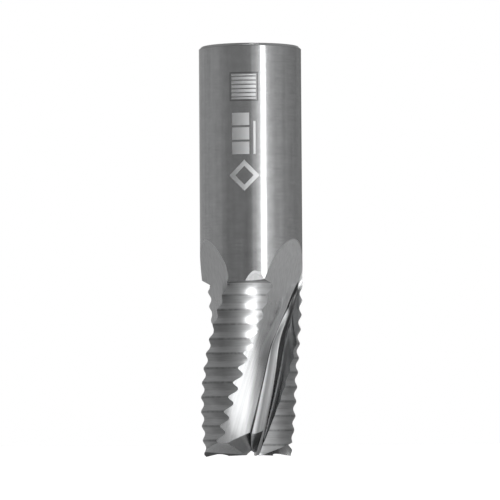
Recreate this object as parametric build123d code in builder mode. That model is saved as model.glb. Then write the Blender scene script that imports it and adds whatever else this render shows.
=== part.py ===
from build123d import *
from math import acos, atan, ceil, cos, degrees, pi, radians, sin, sqrt, tan
import os

# Spiral router bit: one ground bar of solid carbide, standing on its end teeth with the shank up.
# The origin is on the axis, in the plane of the three tooth corners. Lengths are mm, angles are degrees.

# Bar
tool_d = 20.0
tool_length = 80.0
shank_chamfer = 0.5

# Teeth
flute_count = 3
helix_angle = 24.0
tooth_start_angle = -84.5
rake_angle = 20.0
cutting_length = 34.7

# Flute floor, a flat that stands off the axis, faces forward of the cutting edge behind it and falls away at the heel
core_r = 5.86
floor_angle = -16.5
heel_reach = 4.4
heel_r = 6.0
heel_fall = 24.0

# Gullet, a narrower round pass at the foot of the rake face, which runs out into the plain round of the corner
gullet_r = 1.8
gullet_reach = 2.9
gullet_top = 29.0
gullet_run = 9.0
corner_r = 1.0

# Run-out of each flute, where the wheel lifts off the core and stops turning with the helix
lift_start = 20.3
lift_r = 60.0
turn_start = 21.5
turn_length = 9.6

# Rippled lands behind the cutting edges
land_angle = 61.5
land_drop = 1.58
ripple_pitch = 2.8
ripple_depth = 0.55
ripple_sharpness = 0.8
first_crest = 2.3
ripple_stagger = 1.87
crest_clearance = 0.02
shoulder_angle = 28.0

# Small flat ground above each land
flat_rise = 1.2
flat_length = 2.0
flat_depth = 0.2
flat_angle = 30.5

# End teeth
dish_angle = 2.0
end_clearance = 19.0
gash_centre = 1.1
gash_rise = 34.5
gash_side = 19.0
gash_lean = 17.5

# How far the shapes that are ground off reach out of the bar, below its end and ahead of each cutting edge
flute_air = 6.0
land_air = 3.0
end_air = 1.0
edge_air = 4.0

# Level sections through a flute and through one ripple
flute_section_gap = 1.25
sections_per_ripple = 6

# Values worked out from the sizes above
tool_r = tool_d / 2
lead = pi * tool_d / tan(radians(helix_angle))
tooth_step = 360 / flute_count
flute_out_r = tool_r + flute_air
flute_top = lift_start + sqrt(lift_r**2 - (lift_r - tool_r + core_r) ** 2)
shoulder_rise = (land_drop + ripple_depth) * tan(radians(shoulder_angle))
land_top = cutting_length - shoulder_rise
land_angles = (-edge_air, land_angle / 2, land_angle)
land_out_r = tool_r + land_air


def polar(r, angle):
    return Vector(r * cos(radians(angle)), r * sin(radians(angle)))


def edge_angle(z):
    """Angle about the axis of the first cutting edge at height z."""
    return tooth_start_angle + 360 * z / lead


def tooth_plane(z, angle):
    """Level plane at height z whose X axis points outward at the given angle."""
    return Plane(origin=(0, 0, z), x_dir=polar(1, angle), z_dir=(0, 0, 1))


def floor_position(z):
    """Angle that the flute's floor faces, from the cutting edge, and its distance from the axis."""
    past = min(max(z - turn_start, 0), turn_length)
    wheel_turn = min(z, turn_start) + past - past**2 / (2 * turn_length)
    lift = lift_r - sqrt(lift_r**2 - max(z - lift_start, 0) ** 2)
    return floor_angle + 360 * (wheel_turn - min(z, cutting_length)) / lead, core_r + lift


def foot_round(z, floor_normal, floor_r):
    """Radius at the foot of the rake face, and how far below the cutting edge it starts."""
    rake = polar(1, 180 - rake_angle)
    corner_start = Vector(tool_r, 0) + polar(corner_r, 270 - rake_angle)
    corner_reach = (floor_r + corner_r - corner_start.dot(floor_normal)) / rake.dot(floor_normal)
    share = min(max((z - gullet_top + gullet_run) / gullet_run, 0), 1)
    share = share**2 * (3 - 2 * share)
    radius = gullet_r + (corner_r - gullet_r) * share
    return radius, gullet_reach + (corner_reach - gullet_reach) * share


def heel_points(floor_faces, floor_r):
    """Start, middle and end of the round that leads from the floor to the heel, and the line's end outside the bar."""
    start = polar(floor_r, floor_faces) + polar(heel_reach + floor_r - core_r, floor_faces - 90)
    centre = start - polar(heel_r, floor_faces)
    middle = centre + polar(heel_r, floor_faces - heel_fall / 2)
    end = centre + polar(heel_r, floor_faces - heel_fall)
    way_out = polar(1, floor_faces - heel_fall - 90)
    along = end.dot(way_out)
    return start, middle, end, end + way_out * (sqrt(along**2 - end.dot(end) + flute_out_r**2) - along)


def foot_points(floor_faces, floor_r, z):
    """Start, middle and end of the round between the floor and the rake face."""
    floor_normal = polar(1, floor_faces)
    radius, reach = foot_round(z, floor_normal, floor_r)
    foot = Vector(tool_r, 0) + polar(reach, 180 - rake_angle)
    centre = foot + polar(radius, 270 - rake_angle)
    clear = centre.dot(floor_normal) - floor_r
    crease_angle = floor_faces + 180 + degrees(acos(min(clear / radius, 1)))
    return centre + polar(radius, crease_angle), centre + polar(radius, (90 - rake_angle + crease_angle) / 2), foot


def land_points(z, crest, outward):
    """Outline of what is ground off a rippled land at height z: front, middle and back of the land, then of the air."""
    wave = (0.5 - 0.5 * cos(2 * pi * (z - crest) / ripple_pitch)) ** ripple_sharpness
    front_r = tool_r - crest_clearance - ripple_depth * wave + outward
    inner = [polar(front_r - land_drop * angle / land_angle, angle) for angle in land_angles]
    return inner + [polar(land_out_r, angle) for angle in reversed(land_angles)]


# One flute, swept up the helix and out through the side of the bar
flute_sections = ceil((flute_top + 2 * end_air) / flute_section_gap)
rake_rise = sqrt(flute_out_r**2 - (tool_r * sin(radians(rake_angle))) ** 2) - tool_r * cos(radians(rake_angle))
rake_out = Vector(tool_r, 0) + polar(rake_rise, -rake_angle)
with BuildPart() as flute:
    for i in range(flute_sections + 1):
        z = -end_air + i * (flute_top + 2 * end_air) / flute_sections
        floor_faces, floor_r = floor_position(z)
        heel_start, heel_middle, heel_end, heel_out = heel_points(floor_faces, floor_r)
        crease, low, foot = foot_points(floor_faces, floor_r, z)
        middle_out = (heel_out + rake_out).normalized() * flute_out_r
        with BuildSketch(tooth_plane(z, edge_angle(min(z, cutting_length)))):
            with BuildLine():
                Line(heel_out, heel_end)
                ThreePointArc(heel_end, heel_middle, heel_start)
                Line(heel_start, crease)
                ThreePointArc(crease, low, foot)
                Line(foot, rake_out)
                ThreePointArc(rake_out, middle_out, heel_out)
            make_face()
    loft()

# What is ground off each land, whose crests are staggered from tooth to tooth
land_sections = ceil(sections_per_ripple * (land_top + end_air) / ripple_pitch)
land_cuts = []
for tooth in range(flute_count):
    crest = first_crest + tooth * ripple_stagger
    with BuildPart() as land_cut:
        for i in range(land_sections + 1):
            z = -end_air + i * (land_top + end_air) / land_sections
            front, middle, back, back_out, middle_out, front_out = land_points(z, crest, 0)
            with BuildSketch(tooth_plane(z, edge_angle(z) + tooth * tooth_step)):
                with BuildLine():
                    ThreePointArc(front, middle, back)
                    Line(back, back_out)
                    ThreePointArc(back_out, middle_out, front_out)
                    Line(front_out, front)
                make_face()
        loft()
    land_cuts.append(land_cut.part)

# The shoulder above each land, which slopes out past the side of the bar
shoulder_out = 1.2 * (land_drop + ripple_depth)
shoulder_cuts = []
for tooth in range(flute_count):
    crest = first_crest + tooth * ripple_stagger
    with BuildPart() as shoulder_cut:
        for outward in (0, shoulder_out):
            z = land_top + outward * tan(radians(shoulder_angle))
            front, middle, back, back_out, middle_out, front_out = land_points(land_top, crest, outward)
            with BuildSketch(tooth_plane(z, edge_angle(land_top) + tooth * tooth_step)):
                with BuildLine():
                    ThreePointArc(front, middle, back)
                    Line(back, back_out)
                    ThreePointArc(back_out, middle_out, front_out)
                    Line(front_out, front)
                make_face()
        loft(ruled=True)
    shoulder_cuts.append(shoulder_cut.part)

# Small flat above one land, a slab that leans out of the bar at the flat's top
flat_tilt = degrees(atan(flat_depth / flat_length))
with BuildPart() as flat_cut:
    with Locations(Location((tool_r, 0, cutting_length + flat_rise), (0, flat_tilt, 0))):
        Box(flute_air, tool_r, flat_length + flat_rise, align=(Align.MIN, Align.CENTER, Align.MAX))

# End clearance behind one tooth, from its end edge round to the next tooth
end_height = 2 * tool_r
facet_sector = [(0, 0)] + [polar(2 * tool_r, a) for a in (0, tooth_step / 2, tooth_step)]
facet_normal = (tan(radians(dish_angle)), -tan(radians(end_clearance)), 1)
with BuildPart() as end_facet:
    with BuildSketch(Plane.XY.offset(-end_air)):
        Polygon(*facet_sector, align=None)
    extrude(amount=end_height)
    split(bisect_by=Plane(origin=(tool_r, 0, 0), z_dir=facet_normal), keep=Keep.BOTTOM)

# Gash in front of one tooth, which opens its end edge from the centre into the flute and leans with the helix
gash_sector = [(0, 0)] + [polar(2 * tool_r, -a) for a in (tooth_step, tooth_step / 2, 0)]
gash_normal = (-tan(radians(gash_rise)), -tan(radians(gash_side)), 1)
gash_way = Vector(0, tan(radians(gash_lean)), 1)
with BuildPart() as gash:
    with BuildSketch(Plane(origin=gash_way * -end_air)):
        Polygon(*gash_sector, align=None)
    extrude(amount=end_height, dir=gash_way)
    split(bisect_by=Plane(origin=(0, 0, gash_centre), z_dir=gash_normal), keep=Keep.BOTTOM)

with BuildPart() as router_bit:
    Cylinder(tool_r, tool_length, align=(Align.CENTER, Align.CENTER, Align.MIN))
    chamfer(router_bit.edges().sort_by(Axis.Z)[-1], shank_chamfer)
    with PolarLocations(0, flute_count):
        add(flute.part, mode=Mode.SUBTRACT)
    for tooth in range(flute_count):
        add(land_cuts[tooth], mode=Mode.SUBTRACT)
        add(shoulder_cuts[tooth], mode=Mode.SUBTRACT)
    flat_turn = edge_angle(cutting_length) + flat_angle
    with PolarLocations(0, flute_count, start_angle=flat_turn):
        add(flat_cut.part, mode=Mode.SUBTRACT)
    with PolarLocations(0, flute_count, start_angle=tooth_start_angle):
        add(end_facet.part, mode=Mode.SUBTRACT)
    with PolarLocations(0, flute_count, start_angle=tooth_start_angle):
        add(gash.part, mode=Mode.SUBTRACT)
router_bit.part.label = "router_bit"

os.makedirs("parts", exist_ok=True)
export_step(router_bit.part, "parts/router_bit.step")
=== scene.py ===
from math import atan, cos, pi, radians, sin

import bpy
from mathutils import Matrix, Vector

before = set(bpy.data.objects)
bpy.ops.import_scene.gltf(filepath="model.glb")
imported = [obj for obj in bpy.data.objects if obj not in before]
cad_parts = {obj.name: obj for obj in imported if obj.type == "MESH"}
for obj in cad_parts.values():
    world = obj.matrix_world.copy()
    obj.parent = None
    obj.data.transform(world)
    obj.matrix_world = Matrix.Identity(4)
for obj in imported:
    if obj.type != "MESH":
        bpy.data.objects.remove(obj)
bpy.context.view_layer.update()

scene = bpy.context.scene
scene.view_settings.view_transform = "Standard"

# A pair of limits gives where a soft step is 0 and where it is 1. Angles are in degrees, azimuths count from the
# camera towards +X, and the studio's lengths are in metres

# Camera, close to the floor and a long way off, tipped up a little
CAMERA_LENS = 295.5
CAMERA_PLACE = (0, -0.8, 0.0025)
CAMERA_PITCH = 2.707
CAMERA_YAW = 0.0163
CAMERA_ROLL = -0.369

# Grey of the studio's wall by azimuth, low down and above eye level, and the elevations between which the one
# becomes the other
WALL_GREYS = [
    (-180, 1.0), (-165, 0.38), (-75, 0.38), (1, 0.38), (6, 0.8), (18, 1.0), (40, 0.95), (48, 0.72), (62, 0.5),
    (80, 0.38), (112, 0.27), (150, 0.26), (168, 0.14), (179, 1.0),
]
UPPER_GREYS = [
    (-180, 1.0), (-165, 0.38), (-80, 0.38), (-65, 0.12), (45, 0.12), (60, 0.3), (160, 0.3), (179, 1.0),
]
UPPER_RISE = (6, 8)
# Ceiling, darker straight overhead
CEILING_GREY = 0.66
CEILING_RISE = (27, 38)
ZENITH_GREY = 0.4
ZENITH_RISE = (62, 78)
# Shade beside the camera: azimuth and elevation of its middle, its reach both ways, and how flat it stays inside
SHADE_MIDDLE = (-35, 0)
SHADE_REACH = (37, 6.2)
SHADE_POWERS = (4.0, 2.0)
SHADE_GREY = 0.56
# Dark strip low on the wall behind the camera
HORIZON_RISE = (2.6, 1.6)
HORIZON_SIDES = (16, 11)
HORIZON_GREY = 0.2
# Even light that the floor gets from the room
ROOM_LIGHT = 0.56
# Lamps of the pools of light on the floor: their radius, and how soft the pool's edge is
POOL_LAMP_R = 0.02
POOL_BLEND = 0.35

# Floor: its finish and the light that makes it white for the camera
FLOOR_SIZE = 8
FLOOR_GREY = 0.8
FLOOR_ROUGH = 0.6
FLOOR_SHINE = 0.1
FLOOR_WHITE = 0.62
# Where the floor is darker in the mirrors of the metal: far off, at the left and at the right
FAR_FLOOR = (0.32, 0.38)
FAR_SIDE = (16, 11)
FAR_GREY = 0.1
LEFT_START = (-100, -80)
LEFT_END = (-4, -14)
LEFT_GREY = 0.4
RIGHT_START = (45, 65)
RIGHT_REACH = (0.06, 0.035)
RIGHT_GREY = 0.3
# Weak glow of the floor under the bit, which only the metal sees
UNDER_REACH = (0.03, 0.018)
UNDER_GLOW = 0.12


def node(tree, kind, operation=None, **values):
    """A new node, with its inputs set by name or by index, such as i0 for the first."""
    made = tree.nodes.new("ShaderNode" + kind)
    if operation:
        made.operation = operation
    for name, value in values.items():
        key = int(name[1:]) if name[0] == "i" and name[1:].isdigit() else name.replace("_", " ")
        if hasattr(value, "is_output"):
            tree.links.new(value, made.inputs[key])
        else:
            made.inputs[key].default_value = value
    return made


def calc(tree, operation, *values):
    """Result of one Math node, whose inputs are numbers or sockets."""
    return node(tree, "Math", operation, **{f"i{i}": value for i, value in enumerate(values)}).outputs[0]


def product(tree, first, *others):
    """Product of numbers or sockets."""
    result = first
    for value in others:
        result = calc(tree, "MULTIPLY", result, value)
    return result


def step_up(tree, value, limits):
    """0 up to the first limit and 1 from the second on, which may be the lower one."""
    ramp = node(tree, "MapRange", Value=value)
    ramp.inputs["From Min"].default_value = limits[0]
    ramp.inputs["From Max"].default_value = limits[1]
    return ramp.outputs[0]


def turn_step(tree, angle, limits):
    """Soft step whose limits are in degrees, on an angle in radians."""
    return step_up(tree, angle, [radians(limit) for limit in limits])


def smooth_step(tree, value, limits, ends=(0.0, 1.0)):
    """Soft step with rounded ends."""
    ramp = node(tree, "MapRange", Value=value)
    ramp.interpolation_type = "SMOOTHSTEP"
    ramp.inputs["From Min"].default_value = limits[0]
    ramp.inputs["From Max"].default_value = limits[1]
    ramp.inputs["To Min"].default_value = ends[0]
    ramp.inputs["To Max"].default_value = ends[1]
    return ramp.outputs[0]


def spread(tree, value, ends):
    """Noise stretched from its own range over another."""
    ramp = node(tree, "MapRange", Value=value)
    ramp.inputs["From Min"].default_value = NOISE_RANGE[0]
    ramp.inputs["From Max"].default_value = NOISE_RANGE[1]
    ramp.inputs["To Min"].default_value = ends[0]
    ramp.inputs["To Max"].default_value = ends[1]
    return ramp.outputs[0]


def choose(tree, share, first, second):
    """First value where the share is 0, second where it is 1."""
    return node(tree, "Mix", i0=share, i2=first, i3=second).outputs[0]


def tint(tree, grey, share, factor):
    """Grey as it is where the share is 0, and multiplied by the factor where it is 1."""
    return calc(tree, "MULTIPLY", grey, choose(tree, share, 1.0, factor))


def mix_colours(tree, share, first, second):
    """First colour where the share is 0, second where it is 1."""
    mix = node(tree, "Mix", i0=share)
    mix.data_type = "RGBA"
    tree.links.new(first, mix.inputs[6])
    tree.links.new(second, mix.inputs[7])
    return mix.outputs[2]


def lines(tree, noise, x, y, z):
    """Noise of a scale and a detail, at a point given by three numbers or sockets."""
    point = node(tree, "CombineXYZ", i0=x, i1=y, i2=z)
    return node(tree, "TexNoise", Vector=point.outputs[0], Scale=noise[0], Detail=noise[1]).outputs[0]


def grey_ramp(tree, share, greys):
    """Grey by azimuth, which comes as a share of the full turn, with a stop at each angle of the list."""
    ramp = node(tree, "ValToRGB", Fac=share)
    stops = ramp.color_ramp.elements
    stops.remove(stops[1])
    for angle, grey in greys:
        stop = stops.new((angle + 180) / 360) if angle > -180 else stops[0]
        stop.color = (grey, grey, grey, 1)
    return ramp.outputs["Color"]


def make_camera():
    data = bpy.data.cameras.new("camera")
    data.lens = CAMERA_LENS
    data.sensor_width = 36.0
    data.clip_start = 0.05
    data.clip_end = 20.0
    camera = bpy.data.objects.new("camera", data)
    scene.collection.objects.link(camera)
    camera.location = CAMERA_PLACE
    pitch = Matrix.Rotation(pi / 2 + radians(CAMERA_PITCH), 4, "X")
    roll = Matrix.Rotation(radians(CAMERA_ROLL), 4, "Z")
    turn = Matrix.Rotation(radians(CAMERA_YAW), 4, "Z") @ pitch @ roll
    camera.rotation_euler = turn.to_euler()
    scene.camera = camera


make_camera()


# World: white for the camera, an even light for the floor, and a grey studio with a white back wall in the metal
def shade_of(tree, azimuth, height):
    """Share of its light that the room keeps in the shade beside the camera and low behind it."""
    beside = calc(tree, "SUBTRACT", azimuth, radians(SHADE_MIDDLE[0]))
    beside = calc(tree, "ABSOLUTE", calc(tree, "DIVIDE", beside, radians(SHADE_REACH[0])))
    above = calc(tree, "SUBTRACT", height, radians(SHADE_MIDDLE[1]))
    above = calc(tree, "ABSOLUTE", calc(tree, "DIVIDE", above, radians(SHADE_REACH[1])))
    beside = calc(tree, "POWER", beside, SHADE_POWERS[0])
    away = calc(tree, "ADD", beside, calc(tree, "POWER", above, SHADE_POWERS[1]))
    shade = smooth_step(tree, away, (0, 1), (SHADE_GREY, 1.0))
    low = turn_step(tree, height, HORIZON_RISE)
    ahead = turn_step(tree, calc(tree, "ABSOLUTE", azimuth), HORIZON_SIDES)
    return tint(tree, shade, calc(tree, "MULTIPLY", low, ahead), HORIZON_GREY)


def room_colour(tree, azimuth, height):
    """Grey of the wall and the ceiling."""
    share = node(tree, "MapRange", Value=azimuth)
    share.inputs["From Min"].default_value = -pi
    share.inputs["From Max"].default_value = pi
    upper = smooth_step(tree, height, [radians(limit) for limit in UPPER_RISE])
    low_wall = grey_ramp(tree, share.outputs[0], WALL_GREYS)
    high_wall = grey_ramp(tree, share.outputs[0], UPPER_GREYS)
    wall = mix_colours(tree, upper, low_wall, high_wall)
    zenith = turn_step(tree, height, ZENITH_RISE)
    overhead = choose(tree, zenith, CEILING_GREY, CEILING_GREY * ZENITH_GREY)
    return mix_colours(tree, turn_step(tree, height, CEILING_RISE), wall, overhead)


def make_world():
    world = bpy.data.worlds.new("studio")
    world.use_nodes = True
    scene.world = world
    tree = world.node_tree
    tree.nodes.clear()
    x, y, z = node(tree, "SeparateXYZ", i0=node(tree, "TexCoord").outputs["Generated"]).outputs
    azimuth = calc(tree, "ARCTAN2", x, calc(tree, "MULTIPLY", y, -1.0))
    height = calc(tree, "ARCSINE", z)
    room = room_colour(tree, azimuth, height)
    seen = node(tree, "Background", Color=room, Strength=shade_of(tree, azimuth, height))
    white = node(tree, "Background", Color=(1, 1, 1, 1), Strength=1.0)
    even = node(tree, "Background", Color=(1, 1, 1, 1), Strength=ROOM_LIGHT)
    path = node(tree, "LightPath")
    metal = node(tree, "MixShader", Fac=path.outputs["Is Glossy Ray"], i1=even.outputs[0], i2=seen.outputs[0])
    mix = node(tree, "MixShader", Fac=path.outputs["Is Camera Ray"], i1=metal.outputs[0], i2=white.outputs[0])
    node(tree, "OutputWorld", Surface=mix.outputs[0])


make_world()


# Lamps
def add_lamp(data, place, aim):
    """Put a lamp at a place, facing a point."""
    lamp = bpy.data.objects.new(data.name, data)
    scene.collection.objects.link(lamp)
    lamp.location = place
    lamp.rotation_euler = (aim - place).to_track_quat("-Z", "Y").to_euler()
    return lamp


def area_lamp(name, width, height, power, azimuth, elevation, aim):
    """Strip a metre from its aim, which lights the metal but not the floor."""
    data = bpy.data.lights.new(name, "AREA")
    data.shape = "RECTANGLE"
    data.size = width
    data.size_y = height
    data.energy = power
    turn, rise = radians(azimuth), radians(elevation)
    out = Vector((sin(turn) * cos(rise), -cos(turn) * cos(rise), sin(rise)))
    lamp = add_lamp(data, aim + out, aim)
    lamp.visible_diffuse = False


def spot_lamp(name, power, place, aim, pool_r):
    """Pool of light on the floor in front of the bit, which its flutes and small flats mirror."""
    data = bpy.data.lights.new(name, "SPOT")
    data.energy = power
    data.shadow_soft_size = POOL_LAMP_R
    data.spot_blend = POOL_BLEND
    data.spot_size = 2 * atan(pool_r / (aim - place).length)
    add_lamp(data, place, aim)


area_lamp("strip", width=0.15, height=0.3, power=0.5, azimuth=29, elevation=0, aim=Vector((0, 0, 0.12)))
area_lamp("strip_top", width=0.26, height=0.6, power=13.0, azimuth=24, elevation=48, aim=Vector((0, 0, 0.03)))
spot_lamp("floor_pool", power=110, place=Vector((0.04, -0.15, 1.2)), aim=Vector((0.045, -0.09, 0)), pool_r=0.092)
spot_lamp("far_pool", power=96, place=Vector((0.04, -0.24, 1.2)), aim=Vector((0.037, -0.24, 0)), pool_r=0.05)

# Shape of the bit, in mm and degrees, as its finish needs it
TOOTH_START = -84.5
TEETH = 3
LEAD = 141.1
LAND_END = 61.5
LAND_DROP = 1.58
RIPPLE_PITCH = 2.8
FIRST_CREST = 2.3
RIPPLE_STAGGER = 1.87
SHOULDER_Z = 34.7
SHOULDER_SLOPE = 0.53
SHANK_FOOT = 33.65
SHANK_R = 10.0
TOP_Z = 79.5
FLUTE_STRAIGHT_Z = 26.3
FLUTE_TURN_BLEND = 6.0
CREASE_ANGLE = -20.7
CREASE_TURN = (21.5, 28.8)

# Limits of the bit's regions. RADIUS is mm from the axis, and RISE, FALL, HEIGHT, TIP, START, END and TOP are mm from
# the foot. FACING is how much a face looks outward, or upward for ripples, chamfer, end and shoulder. The others are
# degrees round the axis. These are the shank and the lands
SHANK_RADIUS = (9.9, 9.95)
SHANK_RISE = (SHANK_FOOT, SHANK_FOOT + 0.07)
SHANK_FALL = (SHANK_FOOT + 0.07, SHANK_FOOT)
LAND_RADIUS = (9.3, 9.4)
LAND_FACING = (0.955, 0.965)
LAND_HEEL = (LAND_END + 3, LAND_END + 1)
DOWN_FACING = (-0.05, -0.35)

# The shank's end and its chamfer, the end teeth, and the shoulders over the lands
TOP_HEIGHT = (TOP_Z - 0.1, TOP_Z)
CHAMFER_FACING = (0.95, 0.9)
END_FACING = (-0.88, -0.92)
END_HEIGHT = (12, 11)
SHOULDER_FACING = (-0.5, -0.6)
SHOULDER_HEIGHT = (SHOULDER_Z - 2, SHOULDER_Z - 1.5)
SHOULDER_FALL = (SHOULDER_Z, SHOULDER_Z - 0.1)

# The gullet and the rake face, between the crease and the cutting edge. The taper is mm of radius per mm of height
GULLET_FRONT = (0, 1.5)
GULLET_BACK = (16, 14)
GULLET_HEIGHT = (36.5, 36)
GULLET_FACING = (0.45, 0.65)
RAKE_FACING = (0.65, 0.45)
GULLET_TAPER = 0.1
GULLET_RADIUS = (10.2, 9.6)
GULLET_ACROSS = (6, 14)
GULLET_TIP = (24.5, 27.5)
RAKE_TIP = (19, 25)

# The crease's line of painted shade and the flute's floor in front of it, low down (painted shade too) and in the
# run-out. The slope is degrees per mm
CREASE_MIDDLE = 0.2
CREASE_REACH = (2.5, 1.2)
CREASE_RADIUS = (9.3, 9.0)
BEFORE_CREASE = (0, -1)
LOW_FLOOR_SLOPE = 1.45
LOW_FLOOR_FRONT = (-26, -14)
LOW_FLOOR_HEIGHT = (25, 19)
RUN_OUT_FRONT = (-24, -15)
RUN_OUT_START = (17, 25)
RUN_OUT_END = (34.5, 31)
BY_CREASE_FRONT = (-22, -14)
BY_CREASE_BACK = (-2, -5)
FLUTE_TOP = (29, 35)

# Painted shade lines on the ripples, as shares of the pitch from a crest
CREST_REACH = (0.11, 0.02)
TROUGH_REACH = (0.43, 0.48)

# Noise of the grinding lines and of the breaks in the painted shade lines on the crests: scale and detail, then the
# factor on its turn or its height. The noise lies mostly inside the range
NOISE_RANGE = (0.3, 0.7)
FLUTE_NOISE = (2.6, 5.0)
FLUTE_RISE = 0.02
ROUND_NOISE = (5.0, 3.0)
ROUND_TURN = 0.5
BAND_NOISE = (1.0, 4.0)
BAND_TURN = 9.0
BAND_RISE = 0.04
RING_NOISE = (4.0, 3.0)
RING_TURN = 0.15
MOTTLE_NOISE = (0.5, 3.0)
MOTTLE_TURN = 10.0
CREST_SHADE_NOISE = (1.0, 3.0)
CREST_SHADE_TURN = 12.0
CREST_SHADE_LAYER = 3.0

# Colour of the ground carbide, and greys that multiply it
CARBIDE = (0.53, 0.535, 0.54)
FLUTE_GREYS = (0.9, 1.08)
# Painted shade on the rake face, a little lighter near its top
RAKE_SHADE_GREYS = (0.3, 0.36)
# Painted reflection in the gullet: a light band beside the crease and darker beyond it, dimmer at its top
GULLET_REFLECTION_GREYS = (1.85, 0.6)
GULLET_TIP_REFLECTION_GREY = 0.8
# Painted shade on the flute's floor low in front of the crease
LOW_FLOOR_SHADE_GREY = 0.45
# Painted shade on the flute beside the crease, in the run-out
NEAR_CREASE_SHADE = 0.66
# Painted shade in a dark line along the crease
CREASE_LINE_SHADE = 0.12
# Lands: a random grinding tone, lifted above the rest of the carbide as painted light
LAND_LIGHTENED_GREYS = (1.08, 1.3)
# Painted shade lines on the crests and troughs, broken up by noise
CREST_SHADE_SHARES = (0.5, 1.1)
CREST_SHADE_GREY = 0.5
TROUGH_SHADE_GREY = 0.85
# Painted shade on the ripples' slopes that face down
DOWN_SHADE_GREY = 0.85
# Painted shade on the shoulders over the lands
SHOULDER_SHADE_GREY = 0.45
# Painted light on the faces of the end teeth
END_LIGHT_GREY = 1.36
# Painted shade on the chamfer at the shank's end
CHAMFER_SHADE_GREY = 0.5
TOP_GREYS = (0.86, 1.04)
SHANK_BANDS = (0.92, 1.07)
SHANK_MOTTLE = (0.93, 1.06)
SHANK_LINES = (0.95, 1.05)
ETCHED_GREY = 1.3
FRAME_GREY = 0.5

# Roughness of each region, and what is added to it in parts of the flutes
FLUTE_ROUGH = (0.28, 0.2)
GULLET_ADDED = 0.5
RAKE_ADDED = -0.08
FLUTE_TOP_ADDED = 0.16
RUN_OUT_ADDED = 0.42
LAND_ROUGH = (0.56, 0.48)
SHANK_ROUGH = (0.13, 0.19)
ETCHED_ROUGH = 0.45
TOP_ROUGH = 0.3
END_ROUGH = 0.6
# Turn of the lands' grain, as a share of the full turn
LAND_GRAIN = 0.25
# Relief of the grinding lines in metres, and the share of it that the shank's streaks have
BUMP_HEIGHT = 0.000004
BAND_RELIEF = 0.6

# Plain shapes etched on the shank: turn, height, then half the width and half the height, or for the diamond the
# reach of its inner and its outer edge
PLATE = (-97.3, 71.5, 2.8, 2.8)
BAR = (-101.0, 62.4, 1.7, 4.2)
SIDE_BAR = (-85.5, 61.6, 0.22, 3.2)
DIAMOND = (-97.0, 54.3, 1.8, 3.0)
FRAME_WIDTH = 0.2
HATCH_PITCH = 0.8
HATCH_GAP = 0.3
BAR_PITCH = 2.8
BAR_GAP = 0.14
EDGE_BLUR = 0.03


def bit_facing(tree, normal, across):
    """How much a face looks outward, by the level part of its normal, and upward."""
    x, y, upward = node(tree, "SeparateXYZ", i0=normal).outputs
    level = node(tree, "CombineXYZ", i0=x, i1=y, i2=0.0).outputs[0]
    level = node(tree, "VectorMath", "NORMALIZE", i0=level).outputs[0]
    out = node(tree, "VectorMath", "NORMALIZE", i0=across).outputs[0]
    outward = node(tree, "VectorMath", "DOT_PRODUCT", i0=out, i1=level).outputs["Value"]
    return outward, upward


def bit_place(tree):
    """Where a point of the bit lies: radius and height in mm, turn in radians, the turn past the first cutting edge
    counted in teeth, and degrees behind the edge before it, from the nearest edge, and past the crease in front."""
    spot = node(tree, "TexCoord")
    mm = node(tree, "VectorMath", "SCALE", i0=spot.outputs["Object"], Scale=1000.0)
    x, y, z = node(tree, "SeparateXYZ", i0=mm.outputs[0]).outputs
    across = node(tree, "CombineXYZ", i0=x, i1=y, i2=0.0).outputs[0]
    outward, upward = bit_facing(tree, spot.outputs["Normal"], across)
    radius = node(tree, "VectorMath", "LENGTH", i0=across).outputs["Value"]
    turn = calc(tree, "ARCTAN2", y, x)
    start = calc(tree, "SUBTRACT", turn, radians(TOOTH_START))
    edge_turn = calc(tree, "MULTIPLY", z, 2 * pi / LEAD)
    teeth = calc(tree, "DIVIDE", calc(tree, "SUBTRACT", start, edge_turn), 2 * pi / TEETH)
    behind = calc(tree, "MULTIPLY", calc(tree, "FRACT", teeth), 360 / TEETH)
    ahead = calc(tree, "WRAP", behind, 180 / TEETH, -180 / TEETH)
    crease = calc(tree, "MULTIPLY_ADD", step_up(tree, z, CREASE_TURN), -CREASE_ANGLE, CREASE_ANGLE)
    past_crease = calc(tree, "SUBTRACT", ahead, crease)
    return {
        "radius": radius, "turn": turn, "z": z, "teeth": teeth, "outward": outward, "upward": upward,
        "behind": behind, "ahead": ahead, "past_crease": past_crease,
    }


def arc_from(tree, turn, shape):
    """Distance along the shank's round from the middle of a shape."""
    away = calc(tree, "SUBTRACT", turn, radians(shape[0]))
    return calc(tree, "ABSOLUTE", calc(tree, "MULTIPLY", away, SHANK_R))


def rise_from(tree, z, shape):
    """Distance in height from the middle of a shape."""
    return calc(tree, "ABSOLUTE", calc(tree, "SUBTRACT", z, shape[1]))


def within(tree, value, size):
    """1 where a distance is under a size, with a narrow soft edge."""
    return step_up(tree, value, (size + EDGE_BLUR, size - EDGE_BLUR))


def etched_box(tree, turn, z, shape, inset=0.0):
    """1 inside a box on the shank."""
    across = within(tree, arc_from(tree, turn, shape), shape[2] - inset)
    return calc(tree, "MULTIPLY", across, within(tree, rise_from(tree, z, shape), shape[3] - inset))


def gaps(tree, z, shape, pitch, share):
    """0 on thin lines across a shape, evenly spaced from its middle, and 1 between them."""
    from_first = calc(tree, "SUBTRACT", z, shape[1] - pitch / 2)
    turns = calc(tree, "FRACT", calc(tree, "DIVIDE", from_first, pitch))
    from_line = calc(tree, "SUBTRACT", 0.5, calc(tree, "ABSOLUTE", calc(tree, "SUBTRACT", turns, 0.5)))
    return step_up(tree, from_line, (share / 2 - EDGE_BLUR / pitch, share / 2 + EDGE_BLUR / pitch))


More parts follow.
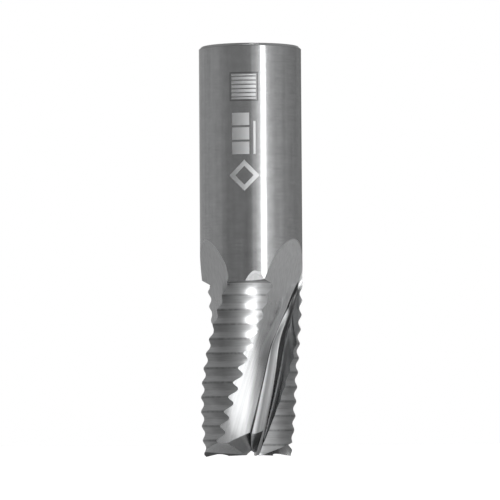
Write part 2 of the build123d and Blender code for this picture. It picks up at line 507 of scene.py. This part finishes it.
def etched(tree, turn, z):
    """1 where the shank is etched: a hatched plate, a bar in three pieces, a thin bar and a diamond."""
    plate = etched_box(tree, turn, z, PLATE, 2 * FRAME_WIDTH)
    plate = calc(tree, "MULTIPLY", plate, gaps(tree, z, PLATE, HATCH_PITCH, HATCH_GAP))
    bar = calc(tree, "MULTIPLY", etched_box(tree, turn, z, BAR), gaps(tree, z, BAR, BAR_PITCH, BAR_GAP))
    side_bar = etched_box(tree, turn, z, SIDE_BAR)
    away = calc(tree, "ADD", arc_from(tree, turn, DIAMOND), rise_from(tree, z, DIAMOND))
    diamond = calc(tree, "SUBTRACT", within(tree, away, DIAMOND[3]), within(tree, away, DIAMOND[2]))
    return calc(tree, "ADD", calc(tree, "ADD", plate, diamond), calc(tree, "ADD", bar, side_bar))


def plate_frame(tree, turn, z):
    """1 on the thin dark frame of the hatched plate."""
    inside = etched_box(tree, turn, z, PLATE, FRAME_WIDTH)
    return calc(tree, "SUBTRACT", etched_box(tree, turn, z, PLATE), inside)


def shank_and_land(tree, place):
    """Shares of the shank and of the rippled lands, which meet along a slant because the lands fall to their heels."""
    drop = calc(tree, "MULTIPLY", place["behind"], LAND_DROP / LAND_END)
    foot_rise = calc(tree, "MULTIPLY", calc(tree, "MINIMUM", drop, LAND_DROP), -SHOULDER_SLOPE)
    over_foot = calc(tree, "ADD", place["z"], foot_rise)
    on_round = step_up(tree, place["radius"], SHANK_RADIUS)
    shank = calc(tree, "MULTIPLY", on_round, step_up(tree, over_foot, SHANK_RISE))
    land = product(
        tree,
        step_up(tree, place["outward"], LAND_FACING),
        step_up(tree, calc(tree, "ADD", place["radius"], drop), LAND_RADIUS),
        step_up(tree, over_foot, SHANK_FALL),
        step_up(tree, place["behind"], LAND_HEEL),
    )
    return {"shank": shank, "land": land}


def end_regions(tree, place):
    """Shares of the shank's end, its chamfer, the faces of the end teeth and the shoulders over the lands."""
    z, upward = place["z"], place["upward"]
    top = step_up(tree, z, TOP_HEIGHT)
    chamfer = calc(tree, "MULTIPLY", top, step_up(tree, upward, CHAMFER_FACING))
    end_facet = calc(tree, "MULTIPLY", step_up(tree, upward, END_FACING), step_up(tree, z, END_HEIGHT))
    shoulder = calc(tree, "MULTIPLY", step_up(tree, upward, SHOULDER_FACING), step_up(tree, z, SHOULDER_HEIGHT))
    return {"top": top, "chamfer": chamfer, "end_facet": end_facet, "shoulder": shoulder}


def gullet_regions(tree, place):
    """Shares of the gullet and of the rake face behind it."""
    z, outward = place["z"], place["outward"]
    past_crease = step_up(tree, place["past_crease"], GULLET_FRONT)
    before_edge = step_up(tree, place["ahead"], GULLET_BACK)
    inside = product(tree, past_crease, before_edge, step_up(tree, z, GULLET_HEIGHT))
    tapered = calc(tree, "MULTIPLY_ADD", z, GULLET_TAPER, place["radius"])
    faces_out = step_up(tree, outward, GULLET_FACING)
    gullet = product(tree, inside, faces_out, step_up(tree, tapered, GULLET_RADIUS))
    return {"gullet": gullet, "rake": calc(tree, "MULTIPLY", inside, step_up(tree, outward, RAKE_FACING))}


def crease_regions(tree, place):
    """Shares of the painted shade line along the crease, and of the flute's floor low in front of it and in the
    run-out. The low floor and the run-out beside the crease get painted shade.
    """
    z, past_crease = place["z"], place["past_crease"]
    from_line = calc(tree, "ABSOLUTE", calc(tree, "SUBTRACT", past_crease, CREASE_MIDDLE))
    under_shoulder = step_up(tree, z, SHOULDER_FALL)
    before = step_up(tree, past_crease, BEFORE_CREASE)
    inner = step_up(tree, place["radius"], CREASE_RADIUS)
    line = product(tree, step_up(tree, from_line, CREASE_REACH), under_shoulder, inner)
    sloped = calc(tree, "MULTIPLY_ADD", z, LOW_FLOOR_SLOPE, place["ahead"])
    low_floor = step_up(tree, sloped, LOW_FLOOR_FRONT)
    low_floor = product(tree, low_floor, under_shoulder, before, step_up(tree, z, LOW_FLOOR_HEIGHT))
    run_out = calc(tree, "MULTIPLY", step_up(tree, past_crease, RUN_OUT_FRONT), before)
    run_out = product(tree, run_out, step_up(tree, z, RUN_OUT_START), step_up(tree, z, RUN_OUT_END))
    by_crease = step_up(tree, past_crease, BY_CREASE_FRONT)
    by_crease = product(tree, by_crease, step_up(tree, past_crease, BY_CREASE_BACK), run_out)
    return {"crease_shade": line, "low_floor": low_floor, "run_out": run_out, "by_crease": by_crease}


def flute_lines(tree, place):
    """Grinding lines along the flutes, which stop turning with the helix in the run-out."""
    height = calc(tree, "SMOOTH_MIN", place["z"], FLUTE_STRAIGHT_Z, FLUTE_TURN_BLEND)
    turned = calc(tree, "SUBTRACT", place["turn"], calc(tree, "MULTIPLY", height, 2 * pi / LEAD))
    x = calc(tree, "MULTIPLY", place["radius"], calc(tree, "COSINE", turned))
    y = calc(tree, "MULTIPLY", place["radius"], calc(tree, "SINE", turned))
    return lines(tree, FLUTE_NOISE, x, y, calc(tree, "MULTIPLY", place["z"], FLUTE_RISE))


def grinding_lines(tree, place):
    """Noise of the grinding lines: along the flutes, round the bit, streaks up the shank and rings on its end."""
    turn, z = place["turn"], place["z"]
    rings = lines(tree, RING_NOISE, place["radius"], calc(tree, "MULTIPLY", turn, RING_TURN), 0.0)
    streak_height = calc(tree, "MULTIPLY", z, BAND_RISE)
    return {
        "flute": flute_lines(tree, place),
        "round": lines(tree, ROUND_NOISE, calc(tree, "MULTIPLY", turn, ROUND_TURN), 0.0, z),
        "bands": lines(tree, BAND_NOISE, calc(tree, "MULTIPLY", turn, BAND_TURN), 0.0, streak_height),
        "rings": rings,
    }


def flute_grey(tree, place, parts, noise):
    """Grey of the flutes: even floor, with painted shade on the rake face, on the floor low in front of the crease and
    in a dark line along the crease, and a painted reflection on the dull gullet.
    """
    z = place["z"]
    grey = spread(tree, noise["flute"], FLUTE_GREYS)
    # Painted shade: the rake face is darkened, a little less near its top
    grey = tint(tree, grey, parts["rake"], choose(tree, step_up(tree, z, RAKE_TIP), *RAKE_SHADE_GREYS))
    # Painted reflection in the gullet: lighter beside the crease, darker further on, dimmer at its top
    gullet_reflection = choose(tree, step_up(tree, place["past_crease"], GULLET_ACROSS), *GULLET_REFLECTION_GREYS)
    gullet_reflection = tint(tree, gullet_reflection, step_up(tree, z, GULLET_TIP), GULLET_TIP_REFLECTION_GREY)
    grey = tint(tree, grey, parts["gullet"], gullet_reflection)
    # Painted shade on the flute's floor low in front of the crease
    grey = tint(tree, grey, parts["low_floor"], LOW_FLOOR_SHADE_GREY)
    # Painted shade in a dark line along the crease
    return tint(tree, grey, parts["crease_shade"], CREASE_LINE_SHADE)


def land_grey(tree, place, noise):
    """Grey of the lands, with a dark line of painted shade on each crest and a weaker one in each trough, broken up by
    noise, and painted shade on slopes that face down.
    """
    tooth = calc(tree, "FLOORED_MODULO", calc(tree, "FLOOR", place["teeth"]), TEETH)
    crest = calc(tree, "MULTIPLY_ADD", tooth, RIPPLE_STAGGER, FIRST_CREST)
    wave = calc(tree, "DIVIDE", calc(tree, "SUBTRACT", place["z"], crest), RIPPLE_PITCH)
    wave = calc(tree, "FRACT", calc(tree, "ADD", wave, 0.5))
    from_crest = calc(tree, "ABSOLUTE", calc(tree, "SUBTRACT", wave, 0.5))
    shade_turn = calc(tree, "MULTIPLY", place["turn"], CREST_SHADE_TURN)
    patchy_shade = spread(tree, lines(tree, CREST_SHADE_NOISE, shade_turn, place["z"], CREST_SHADE_LAYER), CREST_SHADE_SHARES)
    # Painted shade lines on the crests and, weaker, in the troughs
    crest_shade = calc(tree, "MULTIPLY", step_up(tree, from_crest, CREST_REACH), patchy_shade)
    trough_shade = calc(tree, "MULTIPLY", step_up(tree, from_crest, TROUGH_REACH), patchy_shade)
    # The lands' random grinding tone is lifted as painted light
    grey = tint(tree, spread(tree, noise["round"], LAND_LIGHTENED_GREYS), crest_shade, CREST_SHADE_GREY)
    grey = tint(tree, grey, trough_shade, TROUGH_SHADE_GREY)
    # Painted shade on the ripples' slopes that face down
    return tint(tree, grey, step_up(tree, place["upward"], DOWN_FACING), DOWN_SHADE_GREY)


def shank_grey(tree, place, parts, noise):
    """Grey of the shank: streaks and spots, lighter where it is etched."""
    mottle = lines(tree, MOTTLE_NOISE, calc(tree, "MULTIPLY", place["turn"], MOTTLE_TURN), 0.0, place["z"])
    grey = product(
        tree,
        spread(tree, noise["bands"], SHANK_BANDS),
        spread(tree, mottle, SHANK_MOTTLE),
        spread(tree, noise["round"], SHANK_LINES),
    )
    grey = choose(tree, parts["etched"], grey, ETCHED_GREY)
    return choose(tree, plate_frame(tree, place["turn"], place["z"]), grey, FRAME_GREY)


def by_region(tree, parts, flute, land, shank):
    """One value for the flutes, one for the lands and one for the shank."""
    return choose(tree, parts["shank"], choose(tree, parts["land"], flute, land), shank)


def bit_grey(tree, place, parts, noise):
    """Grey of the whole bit, which multiplies the carbide's colour."""
    flute = flute_grey(tree, place, parts, noise)
    land = land_grey(tree, place, noise)
    grey = by_region(tree, parts, flute, land, shank_grey(tree, place, parts, noise))
    grey = choose(tree, parts["top"], grey, spread(tree, noise["rings"], TOP_GREYS))
    # Painted shade on the shoulders over the lands
    grey = tint(tree, grey, parts["shoulder"], SHOULDER_SHADE_GREY)
    # Painted light on the faces of the end teeth
    grey = tint(tree, grey, parts["end_facet"], END_LIGHT_GREY)
    # Painted shade on the chamfer at the shank's end
    grey = tint(tree, grey, parts["chamfer"], CHAMFER_SHADE_GREY)
    # Painted shade on the flute beside the crease, in the run-out
    return tint(tree, grey, parts["by_crease"], NEAR_CREASE_SHADE)


def bit_roughness(tree, place, parts, noise):
    """Roughness of the whole bit."""
    flute = spread(tree, noise["flute"], FLUTE_ROUGH)
    flute = calc(tree, "MULTIPLY_ADD", parts["gullet"], GULLET_ADDED, flute)
    flute = calc(tree, "MULTIPLY_ADD", parts["rake"], RAKE_ADDED, flute)
    flute = calc(tree, "MULTIPLY_ADD", step_up(tree, place["z"], FLUTE_TOP), FLUTE_TOP_ADDED, flute)
    land = spread(tree, noise["round"], LAND_ROUGH)
    shank = choose(tree, parts["etched"], spread(tree, noise["round"], SHANK_ROUGH), ETCHED_ROUGH)
    rough = by_region(tree, parts, flute, land, shank)
    rough = calc(tree, "MULTIPLY_ADD", parts["run_out"], RUN_OUT_ADDED, rough)
    rough = choose(tree, parts["top"], rough, TOP_ROUGH)
    return choose(tree, parts["end_facet"], rough, END_ROUGH)


def bit_bump(tree, parts, noise):
    """Fine relief of the grinding lines."""
    streaks = calc(tree, "MULTIPLY", noise["bands"], BAND_RELIEF)
    relief = by_region(tree, parts, noise["flute"], noise["round"], streaks)
    relief = choose(tree, parts["top"], relief, noise["rings"])
    return node(tree, "Bump", Strength=1.0, Distance=BUMP_HEIGHT, Height=relief).outputs[0]


def grain_of_lands(tree, shader, land):
    """The lands are ground round the bit, so their highlights spread up and down."""
    tangent = node(tree, "Tangent")
    tangent.direction_type = "RADIAL"
    tangent.axis = "Z"
    tree.links.new(tangent.outputs[0], shader.inputs["Tangent"])
    tree.links.new(land, shader.inputs["Anisotropic"])
    shader.inputs["Anisotropic Rotation"].default_value = LAND_GRAIN


# Ground carbide: grinding lines, painted shade, light and reflection in several regions, and the finish of each region
def carbide():
    mat = bpy.data.materials.new("ground_carbide")
    mat.use_nodes = True
    tree = mat.node_tree
    shader = tree.nodes["Principled BSDF"]
    place = bit_place(tree)
    parts = {**shank_and_land(tree, place), **end_regions(tree, place)}
    parts = {**parts, **gullet_regions(tree, place), **crease_regions(tree, place)}
    parts["etched"] = etched(tree, place["turn"], place["z"])
    noise = grinding_lines(tree, place)
    grey = bit_grey(tree, place, parts, noise)
    colour = node(tree, "VectorMath", "SCALE", i0=CARBIDE, Scale=grey)
    tree.links.new(colour.outputs[0], shader.inputs["Base Color"])
    shader.inputs["Metallic"].default_value = 1.0
    tree.links.new(bit_roughness(tree, place, parts, noise), shader.inputs["Roughness"])
    tree.links.new(bit_bump(tree, parts, noise), shader.inputs["Normal"])
    grain_of_lands(tree, shader, parts["land"])
    return mat


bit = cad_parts["router_bit"]
ground = carbide()
for slot in bit.material_slots:
    slot.material = ground


# Floor: white for the camera with the bit's shadow, and darker in parts where only the metal mirrors it
def floor_grey(tree, x, ahead, away, mirrored):
    azimuth = calc(tree, "ARCTAN2", x, ahead)
    far = product(tree, step_up(tree, ahead, FAR_FLOOR), turn_step(tree, azimuth, FAR_SIDE), mirrored)
    left = product(tree, turn_step(tree, azimuth, LEFT_START), turn_step(tree, azimuth, LEFT_END), mirrored)
    right = product(tree, turn_step(tree, azimuth, RIGHT_START), step_up(tree, away, RIGHT_REACH), mirrored)
    grey = choose(tree, right, FLOOR_GREY, RIGHT_GREY)
    grey = choose(tree, left, grey, LEFT_GREY)
    return choose(tree, far, grey, FAR_GREY)


def make_floor():
    bpy.ops.mesh.primitive_plane_add(size=FLOOR_SIZE, location=(0, 0, 0))
    floor = bpy.context.object
    floor.name = "floor"
    mat = bpy.data.materials.new("floor")
    mat.use_nodes = True
    tree = mat.node_tree
    shader = tree.nodes["Principled BSDF"]
    path = node(tree, "LightPath")
    mirrored = path.outputs["Is Glossy Ray"]
    x, y = node(tree, "SeparateXYZ", i0=node(tree, "TexCoord").outputs["Object"]).outputs[:2]
    ahead = calc(tree, "MULTIPLY", y, -1.0)
    away = calc(tree, "SQRT", calc(tree, "ADD", calc(tree, "MULTIPLY", x, x), calc(tree, "MULTIPLY", y, y)))
    grey = floor_grey(tree, x, ahead, away, mirrored)
    colour = node(tree, "CombineXYZ", i0=grey, i1=grey, i2=grey)
    tree.links.new(colour.outputs[0], shader.inputs["Base Color"])
    shader.inputs["Roughness"].default_value = FLOOR_ROUGH
    shader.inputs["Specular IOR Level"].default_value = FLOOR_SHINE
    shader.inputs["Emission Color"].default_value = (1, 1, 1, 1)
    under = calc(tree, "MULTIPLY", step_up(tree, away, UNDER_REACH), mirrored)
    glow = calc(tree, "MULTIPLY", path.outputs["Is Camera Ray"], FLOOR_WHITE)
    glow = calc(tree, "MULTIPLY_ADD", under, UNDER_GLOW, glow)
    tree.links.new(glow, shader.inputs["Emission Strength"])
    floor.data.materials.append(mat)


make_floor()
